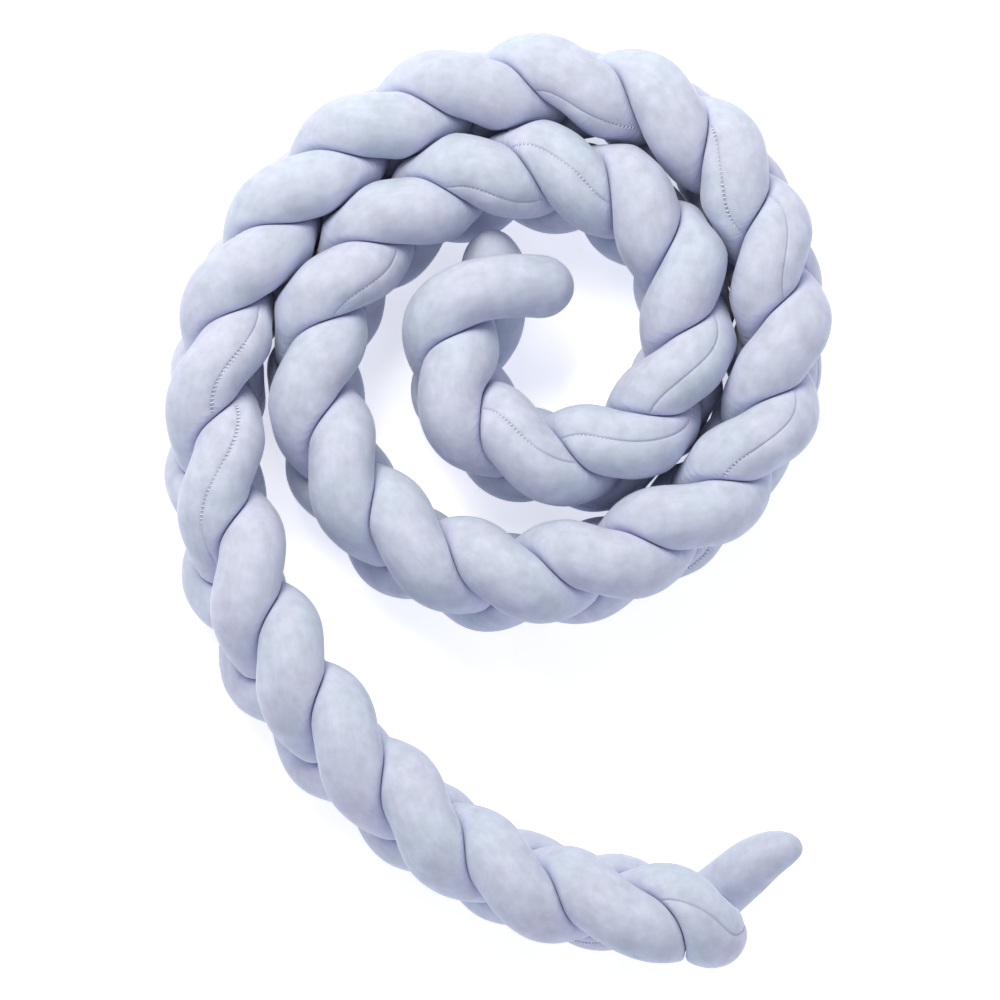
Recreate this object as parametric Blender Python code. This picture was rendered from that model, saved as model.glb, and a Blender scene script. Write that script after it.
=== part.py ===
"""A plaited crib bumper: three stuffed velvet tubes in a flat plait, stood on its edge and coiled.

The plait's middle line is a curve on the surface. Places along it are counted in crossings: at each
whole number one tube passes over the top edge of the plait, and the three tubes take turns.
"""

import math

import bpy
import numpy as np
from mathutils import Vector
from mathutils.bvhtree import BVHTree

# Driving dimensions, in metres.
TUBE_WIDTH = 0.0530
LIFT = 0.0445  # a tube's swing above and below the plait's middle
SWAY = 0.0115  # its swing towards either face of the plait
MIDDLE_HEIGHT = 0.0685  # the plait's middle above the surface, low enough to press the tubes flat there
CLEARANCE = 0.0003  # between two tubes
COIL_CLEARANCE = 0.0015  # between one round of the coil and the next
CREASE = 0.0025  # how gently a tube's wall turns where a neighbour starts to press
SWELL_LIMIT = 1.16  # a pressed tube swells where it is free, at most by this

# The lie of the plait from the tail to the inner end, a row for every second crossing. A plait that
# leans has its top edge that far towards the coil's middle, and its foot as far the other way.
# crossing, x, y, lean
LIE = (
    (-2, 0.330, -0.355, -0.008),
    (0, 0.165, -0.345, -0.008),
    (2, 0.010, -0.315, -0.006),
    (4, -0.130, -0.210, 0.005),
    (6, -0.215, -0.070, 0.008),
    (8, -0.235, 0.105, 0.000),
    (10, -0.165, 0.255, 0.000),
    (12, -0.025, 0.340, 0.000),
    (14, 0.140, 0.320, 0.000),
    (16, 0.225, 0.195, 0.000),
    (18, 0.205, 0.045, -0.008),
    (20, 0.080, -0.055, -0.002),
    (22, -0.075, -0.040, 0.000),
    (24, -0.155, 0.100, 0.000),
    (26, -0.085, 0.235, 0.000),
    (28, 0.055, 0.270, 0.000),
    (30, 0.155, 0.175, 0.000),
    (32, 0.095, 0.040, 0.000),
    (34, -0.035, 0.090, -0.006),
    (36, 0.020, 0.240, -0.006),
    (38, 0.140, 0.300, 0.000),
)

# The three tubes: the crossing where each one starts and ends, how long its closed ends are, and how
# wide it is at its tail's tip, as a share of the full width. The free tail end holds less stuffing.
# name, first crossing, last crossing, tail cap, inner cap, tail share
TUBES = (
    ("tube_1", -0.65, 35.62, 0.036, 0.030, 1.00),
    ("tube_2", 0.10, 35.10, 0.024, 0.024, 1.00),
    ("tube_3", -0.95, 35.75, 0.060, 0.030, 0.86),
)
NARROWING = 0.250  # metres from the tail's tip to where a tube has its full width

# Loose ends leave the plait's rule: how far the tip strays, over how many crossings, and how it bends
# away: evenly at 1, ever more at 2.
# tube, tip, x, y, z, over crossings, bend
STRAYS = (
    (0, "tail", -0.030, 0.000, -0.012, 1.0, 1.4),
    (1, "tail", 0.024, -0.008, 0.032, 1.1, 1.4),
    (2, "tail", 0.007, 0.063, -0.030, 1.6, 1.5),
    (0, "inner", 0.018, -0.004, -0.020, 1.3, 1.4),
    (2, "inner", 0.047, 0.000, 0.000, 1.35, 1.6),
    (2, "inner", 0.000, -0.060, 0.000, 1.4, 2.4),
    (2, "inner", 0.000, 0.010, 0.010, 2.2, 1.2),
)

# The mesh of one tube.
RING_STEP = 0.0190
RING_POINTS = 11  # an odd number, so that one point is on top and a flat lies below
CAP_ANGLES = (24.0, 50.0, 74.0)  # rings of a rounded end, in degrees from its tip
LENGTH_SAMPLES = 4000  # steps in which a tube's length is measured

# What counts as a neighbour: nearer along the plait than this many crossings it is the same stretch.
SAME_STRETCH = 3.0
NEIGHBOUR_SAMPLES = 30  # points for each crossing
NEIGHBOUR_REACH = 2.2 * TUBE_WIDTH
TIP_SHARE = 0.15  # crossings at each tip that press no neighbour

# Rounds in which the stuffing finds its place, and how much of the lack each one makes up.
STUFFING_ROUNDS = 6
STUFFING_SHARE = 0.8
NARROWEST_CAP = 0.2  # rings in a closed end that are narrower than this share don't swell

# How the faceted walls are drawn apart, in rounds that each make up a share of what is missing.
PARTING_REACH = 0.0025
PARTING_ROUNDS = 30
PARTING_SHARE = 0.6
PARTING_LEFT = 0.25  # the share of the clearance that may be missing at the end

VELVET_COLOUR = (0.62, 0.68, 0.86)
VELVET_ROUGHNESS = 0.85


def clear_scene():
    for thing in list(bpy.data.objects):
        bpy.data.objects.remove(thing, do_unlink=True)


def natural_spline(rows):
    """A smooth curve through rows that start with a place, the places evenly spaced."""
    places = np.array([row[0] for row in rows], float)
    points = np.array([row[1:] for row in rows], float)
    count = len(points)
    step = places[1] - places[0]
    system = np.eye(count)
    bend = np.zeros_like(points)
    for i in range(1, count - 1):
        system[i, i - 1 : i + 2] = 1.0, 4.0, 1.0
        bend[i] = 6.0 * (points[i + 1] - 2.0 * points[i] + points[i - 1])
    bend = np.linalg.solve(system, bend)

    def curve(place):
        along = (np.asarray(place, float) - places[0]) / step
        i = np.clip(np.floor(along).astype(int), 0, count - 2)
        b = (along - i)[..., None]
        a = 1.0 - b
        chord = a * points[i] + b * points[i + 1]
        return chord + ((a**3 - a) * bend[i] + (b**3 - b) * bend[i + 1]) / 6.0

    return curve


LIE_CURVE = natural_spline(LIE)


def towards_outer_face(crossing):
    """The unit vector across the plait, to the left of its run from the tail: the coil's outside."""
    run = (LIE_CURVE(crossing + 0.01) - LIE_CURVE(crossing - 0.01))[..., :2]
    run /= np.linalg.norm(run, axis=-1, keepdims=True)
    return np.stack([-run[..., 1], run[..., 0]], axis=-1)


def stray(tube, crossing):
    """How far a loose end has left the plait's rule."""
    first, last = TUBES[tube][1:3]
    moved = np.zeros(np.shape(crossing) + (3,))
    for of_tube, tip, x, y, z, over, bend in STRAYS:
        if of_tube == tube:
            past = first + over - crossing if tip == "tail" else crossing - last + over
            share = np.clip(past / over, 0.0, 1.0) ** bend
            moved += share[..., None] * np.array([x, y, z])
    return moved


def tube_line(tube, crossing):
    """The middle of a tube: up and over the top edge, down one face, under, and up the other face."""
    crossing = np.asarray(crossing, float)
    turn = math.pi / 2.0 + 2.0 * math.pi * (crossing - tube) / 3.0
    lie = LIE_CURVE(crossing)
    aside = SWAY * np.sin(2.0 * turn) - lie[..., 2] * np.sin(turn)
    ground = lie[..., :2] + towards_outer_face(crossing) * aside[..., None]
    height = MIDDLE_HEIGHT + LIFT * np.sin(turn)
    return np.concatenate([ground, height[..., None]], axis=-1) + stray(tube, crossing)


def smooth_step(x):
    x = np.clip(x, 0.0, 1.0)
    return x * x * (3.0 - 2.0 * x)


def ring_places(tube):
    """The crossings of a tube's rings, closer together in its closed ends, and how wide those are."""
    name, first, last, tail_cap, inner_cap, tail_share = TUBES[tube]
    fine = np.linspace(first, last, LENGTH_SAMPLES)
    steps = np.linalg.norm(np.diff(tube_line(tube, fine), axis=0), axis=1)
    length = np.concatenate([[0.0], np.cumsum(steps)])
    total = length[-1]
    rounding = 1.0 - np.cos(np.radians(CAP_ANGLES))
    count = round((total - tail_cap - inner_cap) / RING_STEP) + 1
    between = np.linspace(tail_cap, total - inner_cap, count)
    along = np.concatenate([tail_cap * rounding, between, total - inner_cap * rounding[::-1]])
    tail = np.clip(1.0 - along / tail_cap, 0.0, 1.0)
    inner = np.clip(1.0 - (total - along) / inner_cap, 0.0, 1.0)
    roundness = np.sqrt(1.0 - np.maximum(tail, inner) ** 2)
    roundness *= 1.0 - (1.0 - tail_share) * smooth_step(1.0 - along / NARROWING)
    return np.interp(along, length, fine), roundness


def ring_axes(line):
    """Two axes across the line at each point, the first as upright as the slope there lets it be."""
    run = np.gradient(line, axis=0)
    run /= np.linalg.norm(run, axis=1, keepdims=True)
    first = np.array([0.0, 0.0, 1.0]) - run * run[:, 2:]
    first /= np.linalg.norm(first, axis=1, keepdims=True)
    return first, np.cross(run, first)


def neighbour_points(tube, crossing):
    """Points on the middles of the tubes beside a place, each with the clearance to keep to it."""
    points = []
    clearances = []
    for other, (name, first, last, *_) in enumerate(TUBES):
        count = round((last - first) * NEIGHBOUR_SAMPLES)
        places = np.linspace(first + TIP_SHARE, last - TIP_SHARE, count)
        next_round = np.abs(places - crossing) > SAME_STRETCH
        kept = next_round | (other != tube)
        points.append(tube_line(other, places[kept]))
        clearances.append(np.where(next_round[kept], COIL_CLEARANCE, CLEARANCE))
    return np.concatenate(points), np.concatenate(clearances)


def room_around(tube, crossing, middle, directions):
    """How far the tube can reach each way before it meets halfway with a neighbour."""
    points, clearance = neighbour_points(tube, crossing)
    apart = points - middle
    near = np.linalg.norm(apart, axis=1) < NEIGHBOUR_REACH
    apart = apart[near]
    clearance = clearance[near]
    facing = directions @ apart.T + clearance
    reach = ((apart**2).sum(axis=1) - clearance**2) / np.maximum(2.0 * facing, 1e-6)
    reach = np.where(facing > 1e-6, reach, NEIGHBOUR_REACH)
    return np.minimum(reach.min(axis=1), NEIGHBOUR_REACH)


def soft_minimum(a, b):
    return -CREASE * np.log(np.exp(-a / CREASE) + np.exp(-b / CREASE))


def girth(radii, angles):
    x = radii * np.cos(angles)
    y = radii * np.sin(angles)
    return np.hypot(np.roll(x, -1, axis=1) - x, np.roll(y, -1, axis=1) - y).sum(axis=1)


def stuffed_radii(room, roundness, angles):
    """The tube's reach each way: round where free, flat where pressed, and of one girth throughout."""
    full_girth = TUBE_WIDTH * len(angles) * math.sin(math.pi / len(angles))
    wanted = full_girth * np.maximum(roundness, NARROWEST_CAP)
    swell = np.ones(len(room))
    for _ in range(STUFFING_ROUNDS):
        free = TUBE_WIDTH / 2.0 * swell * roundness
        radii = soft_minimum(free[:, None], room)
        swell *= (wanted / girth(radii, angles)) ** STUFFING_SHARE
        swell = np.clip(swell, 1.0, SWELL_LIMIT)
        swell = np.convolve(np.pad(swell, 1, mode="edge"), np.ones(3) / 3.0, "valid")
    return np.maximum(radii, 0.001)


def tube_wall(tube):
    """The wall of a tube as points, ring after ring and then its two tips, with the middle of each."""
    places, roundness = ring_places(tube)
    middles = tube_line(tube, places)
    first, second = ring_axes(middles)
    angles = np.arange(RING_POINTS) * 2.0 * math.pi / RING_POINTS
    upwards = np.cos(angles)[None, :, None] * first[:, None]
    sideways = np.sin(angles)[None, :, None] * second[:, None]
    across = upwards + sideways
    room = [room_around(tube, *ring) for ring in zip(places, middles, across)]
    radii = stuffed_radii(np.array(room), roundness, angles)
    rings = middles[:, None] + radii[..., None] * across
    tips = tube_line(tube, np.array(TUBES[tube][1:3]))
    points = np.concatenate([rings.reshape(-1, 3), tips])
    points[:, 2] = np.maximum(points[:, 2], 0.0)
    inside = np.concatenate([np.repeat(middles, RING_POINTS, axis=0), middles[[1, -2]]])
    return points, inside


def tube_faces(ring_count):
    """Triangles of a closed tube: its wall, and a fan at each tip."""
    tail_tip = ring_count * RING_POINTS
    inner_tip = tail_tip + 1
    last_ring = tail_tip - RING_POINTS
    faces = []
    for i in range(RING_POINTS):
        j = (i + 1) % RING_POINTS
        faces.append((tail_tip, j, i))
        faces.append((inner_tip, last_ring + i, last_ring + j))
        for start in range(0, last_ring, RING_POINTS):
            a = start + i
            b = start + j
            faces.append((a, b, b + RING_POINTS))
            faces.append((a, b + RING_POINTS, a + RING_POINTS))
    return np.array(faces)


def missing_clearance(points, faces, tree):
    """For each point, how much of the clearance to another tube its faces lack."""
    corners = points[faces]
    edges = (corners + np.roll(corners, -1, axis=1)) / 2.0
    spots = np.concatenate([corners, edges, corners.mean(axis=1, keepdims=True)], axis=1)
    missing = np.zeros(len(points))
    for face, face_spots in zip(faces, spots):
        for spot in face_spots:
            place, normal, _, distance = tree.find_nearest(Vector(spot), PARTING_REACH)
            if place is None:
                continue
            if (Vector(spot) - place).dot(normal) < 0.0:
                distance = -distance
            missing[face] = np.maximum(missing[face], CLEARANCE - distance)
    return missing


def part_neighbours(walls):
    """Draws the tubes' walls in, a little at a time, until each clears the others."""
    for _ in range(PARTING_ROUNDS):
        trees = [BVHTree.FromPolygons(points.tolist(), faces.tolist()) for points, inside, faces in walls]
        worst = 0.0
        for index, (points, inside, faces) in enumerate(walls):
            missing = np.zeros(len(points))
            for tree in trees[:index] + trees[index + 1 :]:
                missing = np.maximum(missing, missing_clearance(points, faces, tree))
                crossed = faces[[face for face, _ in trees[index].overlap(tree)]]
                missing[crossed] = np.maximum(missing[crossed], CLEARANCE)
            inward = inside - points
            inward /= np.linalg.norm(inward, axis=1, keepdims=True)
            points += inward * (PARTING_SHARE * missing)[:, None]
            worst = max(worst, missing.max())
        if worst < CLEARANCE * PARTING_LEFT:
            break


def velvet(name):
    material = bpy.data.materials.new(name)
    material.use_nodes = True
    shader = material.node_tree.nodes["Principled BSDF"]
    shader.inputs["Base Color"].default_value = (*VELVET_COLOUR, 1.0)
    shader.inputs["Roughness"].default_value = VELVET_ROUGHNESS
    shader.inputs["Metallic"].default_value = 0.0
    return material


def add_tube(name, points, faces):
    mesh = bpy.data.meshes.new(name)
    mesh.from_pydata(points.tolist(), [], faces.tolist())
    mesh.materials.append(velvet(name + " velvet"))
    mesh.shade_smooth()
    bpy.context.collection.objects.link(bpy.data.objects.new(name, mesh))


def main():
    clear_scene()
    walls = []
    for tube in range(len(TUBES)):
        points, inside = tube_wall(tube)
        walls.append((points, inside, tube_faces(len(points) // RING_POINTS)))
    part_neighbours(walls)
    everything = np.concatenate([points for points, inside, faces in walls])
    centre = (everything.min(axis=0) + everything.max(axis=0)) / 2.0
    for (name, *_), (points, inside, faces) in zip(TUBES, walls):
        points[:, :2] -= centre[:2]
        add_tube(name, points, faces)


main()
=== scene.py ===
# %% [markdown]
# # A plaited crib bumper in velvet
#
# Three long velvet tubes are stuffed with fibre, plaited, and the plait stands on its edge in a loose coil.
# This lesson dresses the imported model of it. It loads the frame, sets up the view, draws each tube's wall
# from the plait's own rule, makes the velvet, parts the loose ends, and ends with the stitches.

import math

import bpy
import numpy as np
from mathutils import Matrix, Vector
from mathutils.bvhtree import BVHTree


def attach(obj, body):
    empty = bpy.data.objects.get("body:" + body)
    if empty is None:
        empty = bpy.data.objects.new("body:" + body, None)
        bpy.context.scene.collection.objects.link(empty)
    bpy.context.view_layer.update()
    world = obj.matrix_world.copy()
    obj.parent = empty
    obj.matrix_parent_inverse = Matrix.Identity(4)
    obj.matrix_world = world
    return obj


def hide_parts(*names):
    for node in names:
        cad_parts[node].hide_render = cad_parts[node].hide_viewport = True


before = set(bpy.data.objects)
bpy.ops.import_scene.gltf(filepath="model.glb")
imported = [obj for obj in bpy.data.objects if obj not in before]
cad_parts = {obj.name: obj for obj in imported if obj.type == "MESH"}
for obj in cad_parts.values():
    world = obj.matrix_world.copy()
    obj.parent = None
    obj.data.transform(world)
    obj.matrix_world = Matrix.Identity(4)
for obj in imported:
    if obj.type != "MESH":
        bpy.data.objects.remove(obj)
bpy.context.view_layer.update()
print("solids:", sorted(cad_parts))

# %% [markdown]
# ## The view
#
# The coil is seen nearly from above, from far away, as in a catalogue picture. A long lens at nine metres
# keeps the lobes at the edge as large as those in the middle. A camera set by a target, a height angle and
# a distance is easy to move later, so it is made that way.

# %% Make the camera
PICTURE_WIDTH = 1000.0  # pixels
SENSOR_WIDTH = 36.0  # millimetres
CAMERA_TARGET = Vector((0.0025, 0.0024, 0.070))
CAMERA_ELEVATION = math.radians(81.5)
CAMERA_DISTANCE = 9.0
PIXEL_SIZE = 0.00083  # metres at the target


def make_camera():
    data = bpy.data.cameras.new("camera")
    data.sensor_width = SENSOR_WIDTH
    data.lens = CAMERA_DISTANCE / PIXEL_SIZE * SENSOR_WIDTH / PICTURE_WIDTH
    data.clip_end = 100.0
    camera = bpy.data.objects.new("camera", data)
    bpy.context.scene.collection.objects.link(camera)
    back = Vector((0.0, -math.cos(CAMERA_ELEVATION), math.sin(CAMERA_ELEVATION)))
    camera.location = CAMERA_TARGET + back * CAMERA_DISTANCE
    camera.rotation_euler = back.to_track_quat("Z", "Y").to_euler()
    bpy.context.scene.camera = camera
    return camera


camera = make_camera()
print("lens in mm:", round(camera.data.lens, 1))

# %% [markdown]
# ## The light and the floor
#
# Velvet shows its form in soft light: a hard lamp would draw sharp shadows that hide the creases. One large
# soft light high up behind the coil gives each lobe a bright shoulder and a darker foot, a weak one fills
# from the front, and a white surround lifts the rest. The floor is plain and pale.

# %% Light the studio
SURROUND_STRENGTH = 0.60
SURROUND_COLOUR = (0.87, 0.88, 1.0, 1.0)
LAMP_COLOUR = (1.0, 0.965, 0.79)
# name, place, width, power in watts
LIGHTS = (
    ("key light", (-0.68, 1.85, 2.65), 2.1, 104.0),
    ("fill light", (1.2, -1.6, 1.8), 1.6, 6.0),
)


def make_light(name, place, width, power):
    data = bpy.data.lights.new(name, "AREA")
    data.shape = "DISK"
    data.size = width
    data.energy = power
    data.color = LAMP_COLOUR
    light = bpy.data.objects.new(name, data)
    bpy.context.scene.collection.objects.link(light)
    light.location = place
    light.rotation_euler = Vector(place).to_track_quat("Z", "Y").to_euler()
    return light


for row in LIGHTS:
    make_light(*row)
world = bpy.data.worlds.new("surround")
bpy.context.scene.world = world
world.use_nodes = True
world.node_tree.nodes["Background"].inputs["Color"].default_value = SURROUND_COLOUR
world.node_tree.nodes["Background"].inputs["Strength"].default_value = SURROUND_STRENGTH
bpy.context.scene.view_settings.view_transform = "Standard"
print("lights:", [row[0] for row in LIGHTS])

# %% Lay the floor
FLOOR_HALF = 15.0
FLOOR_COLOUR = (0.93, 0.93, 0.95, 1.0)
FLOOR_GLOW = 0.52  # the light of a lit table, which softens the shadows on it


def make_floor():
    mesh = bpy.data.meshes.new("floor")
    corners = [(x * FLOOR_HALF, y * FLOOR_HALF, 0.0) for x, y in ((-1, -1), (1, -1), (1, 1), (-1, 1))]
    mesh.from_pydata(corners, [], [(0, 1, 2, 3)])
    material = bpy.data.materials.new("floor")
    material.use_nodes = True
    shader = material.node_tree.nodes["Principled BSDF"]
    shader.inputs["Base Color"].default_value = FLOOR_COLOUR
    shader.inputs["Roughness"].default_value = 0.9
    shader.inputs["Emission Color"].default_value = FLOOR_COLOUR
    shader.inputs["Emission Strength"].default_value = FLOOR_GLOW
    mesh.materials.append(material)
    floor = bpy.data.objects.new("floor", mesh)
    bpy.context.scene.collection.objects.link(floor)
    return floor


floor = make_floor()

# %% [markdown]
# ## The rule of the plait
#
# A plait of three is a rule, not a shape to be drawn by hand: each tube goes up and over the top edge, down
# one face, under, and up the other face, and the three take turns. So a place along it is counted in
# crossings. Where the plait itself goes is a short table, a row for every second crossing, and a smooth
# curve runs through the rows. The same rule made the solids, so the cloth lies where they lie.

# %% The sizes of the plait
TUBE_WIDTH = 0.0530
LIFT = 0.0445  # a tube's swing above and below the plait's middle
SWAY = 0.0115  # its swing towards either face of the plait
MIDDLE_HEIGHT = 0.0685  # the plait's middle above the floor
CLEARANCE = 0.0003  # between two tubes
COIL_CLEARANCE = 0.0015  # between one round of the coil and the next

# A plait that leans has its top edge that far towards the coil's middle.
# crossing, x, y, lean
LIE = (
    (-2, 0.330, -0.355, -0.008),
    (0, 0.165, -0.345, -0.008),
    (2, 0.010, -0.315, -0.006),
    (4, -0.130, -0.210, 0.005),
    (6, -0.215, -0.070, 0.008),
    (8, -0.235, 0.105, 0.000),
    (10, -0.165, 0.255, 0.000),
    (12, -0.025, 0.340, 0.000),
    (14, 0.140, 0.320, 0.000),
    (16, 0.225, 0.195, 0.000),
    (18, 0.205, 0.045, -0.008),
    (20, 0.080, -0.055, -0.002),
    (22, -0.075, -0.040, 0.000),
    (24, -0.155, 0.100, 0.000),
    (26, -0.085, 0.235, 0.000),
    (28, 0.055, 0.270, 0.000),
    (30, 0.155, 0.175, 0.000),
    (32, 0.095, 0.040, 0.000),
    (34, -0.035, 0.090, -0.006),
    (36, 0.020, 0.240, -0.006),
    (38, 0.140, 0.300, 0.000),
)

# The free tail end holds less stuffing: its width at the tip is a share of the full width.
# name, first crossing, last crossing, tail cap, inner cap, tail share
TUBES = (
    ("tube_1", -0.65, 35.62, 0.036, 0.030, 1.00),
    ("tube_2", 0.10, 35.10, 0.024, 0.024, 1.00),
    ("tube_3", -0.95, 35.75, 0.060, 0.030, 0.86),
)
NARROWING = 0.250  # metres from the tail's tip to where a tube has its full width

# Loose ends leave the rule: how far the tip strays, over how many crossings, and how it bends away:
# evenly at 1, ever more at 2.
# tube, tip, x, y, z, over crossings, bend
STRAYS = (
    (0, "tail", -0.030, 0.000, -0.012, 1.0, 1.4),
    (1, "tail", 0.024, -0.008, 0.032, 1.1, 1.4),
    (2, "tail", 0.007, 0.063, -0.030, 1.6, 1.5),
    (0, "inner", 0.018, -0.004, -0.020, 1.3, 1.4),
    (2, "inner", 0.047, 0.000, 0.000, 1.35, 1.6),
    (2, "inner", 0.000, -0.060, 0.000, 1.4, 2.4),
    (2, "inner", 0.000, 0.010, 0.010, 2.2, 1.2),
)


# %% The middle line of a tube
def natural_spline(rows):
    """A smooth curve through rows that start with a place, the places evenly spaced."""
    places = np.array([row[0] for row in rows], float)
    points = np.array([row[1:] for row in rows], float)
    count = len(points)
    step = places[1] - places[0]
    system = np.eye(count)
    bend = np.zeros_like(points)
    for i in range(1, count - 1):
        system[i, i - 1 : i + 2] = 1.0, 4.0, 1.0
        bend[i] = 6.0 * (points[i + 1] - 2.0 * points[i] + points[i - 1])
    bend = np.linalg.solve(system, bend)

    def curve(place):
        along = (np.asarray(place, float) - places[0]) / step
        i = np.clip(np.floor(along).astype(int), 0, count - 2)
        b = (along - i)[..., None]
        a = 1.0 - b
        chord = a * points[i] + b * points[i + 1]
        return chord + ((a**3 - a) * bend[i] + (b**3 - b) * bend[i + 1]) / 6.0

    return curve


LIE_CURVE = natural_spline(LIE)


def towards_outer_face(crossing):
    """The unit vector across the plait, towards the outside of the coil."""
    run = (LIE_CURVE(crossing + 0.01) - LIE_CURVE(crossing - 0.01))[..., :2]
    run /= np.linalg.norm(run, axis=-1, keepdims=True)
    return np.stack([-run[..., 1], run[..., 0]], axis=-1)


def smooth_step(x):
    x = np.clip(x, 0.0, 1.0)
    return x * x * (3.0 - 2.0 * x)


def stray(tube, crossing):
    """How far a loose end has left the plait's rule."""
    first, last = TUBES[tube][1:3]
    moved = np.zeros(np.shape(crossing) + (3,))
    for of_tube, tip, x, y, z, over, bend in STRAYS:
        if of_tube == tube:
            past = first + over - crossing if tip == "tail" else crossing - last + over
            share = np.clip(past / over, 0.0, 1.0) ** bend
            moved += share[..., None] * np.array([x, y, z])
    return moved


def tube_line(tube, crossing):
    """The middle of a tube: up and over the top edge, down one face, under, and up the other face."""
    crossing = np.asarray(crossing, float)
    turn = math.pi / 2.0 + 2.0 * math.pi * (crossing - tube) / 3.0
    lie = LIE_CURVE(crossing)
    aside = SWAY * np.sin(2.0 * turn) - lie[..., 2] * np.sin(turn)
    ground = lie[..., :2] + towards_outer_face(crossing) * aside[..., None]
    height = MIDDLE_HEIGHT + LIFT * np.sin(turn)
    return np.concatenate([ground, height[..., None]], axis=-1) + stray(tube, crossing)


for tube, (name, first, last, *_) in enumerate(TUBES):
    line = tube_line(tube, np.linspace(first, last, 2000))
    print(name, "is", round(np.linalg.norm(np.diff(line, axis=0), axis=1).sum(), 2), "m long")

# %% [markdown]
# ## Rings along a tube
#
# The wall is a row of rings, close enough together that no facet shows. The points of a ring crowd towards
# the seam, because the seam's groove is only a few millimetres wide, while the rest of the wall is smooth
# and needs fewer. The seam turns round the tube as the plait twists it: it shows on some lobes and hides
# on the others. A small table names the lobes where it shows and how far it has turned from the top there.

# %% Where the rings are
RING_STEP = 0.0023
CAP_RINGS = 14  # in each closed end
LENGTH_SAMPLES = 8000


def ring_places(tube):
    """The crossings of a tube's rings, how wide its closed ends are there, and the length so far."""
    name, first, last, tail_cap, inner_cap, tail_share = TUBES[tube]
    fine = np.linspace(first, last, LENGTH_SAMPLES)
    steps = np.linalg.norm(np.diff(tube_line(tube, fine), axis=0), axis=1)
    length = np.concatenate([[0.0], np.cumsum(steps)])
    total = length[-1]
    cap_angles = np.linspace(0.0, math.pi / 2.0, CAP_RINGS + 2)[1:-1]
    rounding = 1.0 - np.cos(cap_angles)
    count = round((total - tail_cap - inner_cap) / RING_STEP) + 1
    between = np.linspace(tail_cap, total - inner_cap, count)
    along = np.concatenate([tail_cap * rounding, between, total - inner_cap * rounding[::-1]])
    tail = np.clip(1.0 - along / tail_cap, 0.0, 1.0)
    inner = np.clip(1.0 - (total - along) / inner_cap, 0.0, 1.0)
    roundness = np.sqrt(1.0 - np.maximum(tail, inner) ** 2)
    roundness *= 1.0 - (1.0 - tail_share) * smooth_step(1.0 - along / NARROWING)
    return np.interp(along, length, fine), roundness


def ring_axes(line):
    """Two axes across the line at each point, the first as upright as the slope there lets it be."""
    run = np.gradient(line, axis=0)
    run /= np.linalg.norm(run, axis=1, keepdims=True)
    first = np.array([0.0, 0.0, 1.0]) - run * run[:, 2:]
    first /= np.linalg.norm(first, axis=1, keepdims=True)
    return first, np.cross(run, first)


# %% Where the seam runs
SEAM_EASE = 0.16  # crossings over which its turns are evened out
# Lobes with their top at 0, 3, 6 ... are the first tube's, at 1, 4, 7 ... the second's, and so on.
# tube, crossing, degrees from the top: under 90 it shows from above, over 90 it is hidden
SEAM_TURNS = (
    (0, -0.5, -20.0),
    (0, -0.1, 25.0),
    (0, 0.0, 18.0),
    (0, 0.3, -30.0),
    (0, 3.0, -150.0),
    (0, 12.0, -150.0),
    (0, 14.6, 5.0),
    (0, 14.9, 35.0),
    (0, 15.1, 23.0),
    (0, 15.4, 15.0),
    (0, 17.7, -18.0),
    (0, 17.9, -12.0),
    (0, 18.3, -25.0),
    (0, 21.0, -150.0),
    (0, 24.0, -150.0),
    (0, 26.8, 50.0),
    (0, 27.1, 40.0),
    (0, 27.5, 45.0),
    (0, 30.0, 150.0),
    (0, 32.5, 0.0),
    (0, 32.8, 14.0),
    (0, 33.2, 0.0),
    (0, 34.5, -100.0),
    (0, 36.0, -150.0),
    (1, 0.0, -150.0),
    (1, 4.0, -150.0),
    (1, 6.7, -20.0),
    (1, 7.0, 0.0),
    (1, 7.3, 15.0),
    (1, 10.0, 150.0),
    (1, 13.1, 50.0),
    (1, 13.3, 37.0),
    (1, 13.6, 48.0),
    (1, 15.8, -15.0),
    (1, 16.2, -35.0),
    (1, 19.0, -150.0),
    (1, 22.0, -210.0),
    (1, 25.0, -310.0),
    (1, 25.2, -320.0),
    (1, 25.4, -325.0),
    (1, 27.6, -365.0),
    (1, 27.9, -352.0),
    (1, 28.1, -366.0),
    (1, 28.4, -350.0),
    (1, 30.7, -385.0),
    (1, 30.9, -375.0),
    (1, 31.3, -385.0),
    (1, 34.0, -510.0),
    (1, 36.0, -540.0),
    (2, -1.0, 150.0),
    (2, 5.0, 150.0),
    (2, 7.6, 28.0),
    (2, 8.0, 20.0),
    (2, 8.3, 25.0),
    (2, 11.0, 150.0),
    (2, 26.0, 180.0),
    (2, 29.0, 210.0),
    (2, 31.5, 315.0),
    (2, 31.75, 350.0),
    (2, 31.9, 358.0),
    (2, 32.4, 357.0),
    (2, 35.0, 500.0),
    (2, 36.0, 510.0),
)


def seam_turn(tube, crossing):
    """How far the seam has turned from the top of the ring, in radians."""
    places = [place for of_tube, place, turn in SEAM_TURNS if of_tube == tube]
    turns = [turn for of_tube, place, turn in SEAM_TURNS if of_tube == tube]
    ease = np.linspace(-SEAM_EASE, SEAM_EASE, 15)
    spread = np.interp(crossing[:, None] + ease, places, turns)
    return np.radians(spread @ np.hanning(len(ease) + 2)[1:-1] / np.hanning(len(ease) + 2).sum())


# %% Where a ring's points are
HALF_COLUMNS = 27
SEAM_GAP = 0.00045  # between points at the seam
FAR_GAP = 0.0040  # between points far from it
SEAM_CROWD = 7.0  # points over which the gap grows


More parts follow.
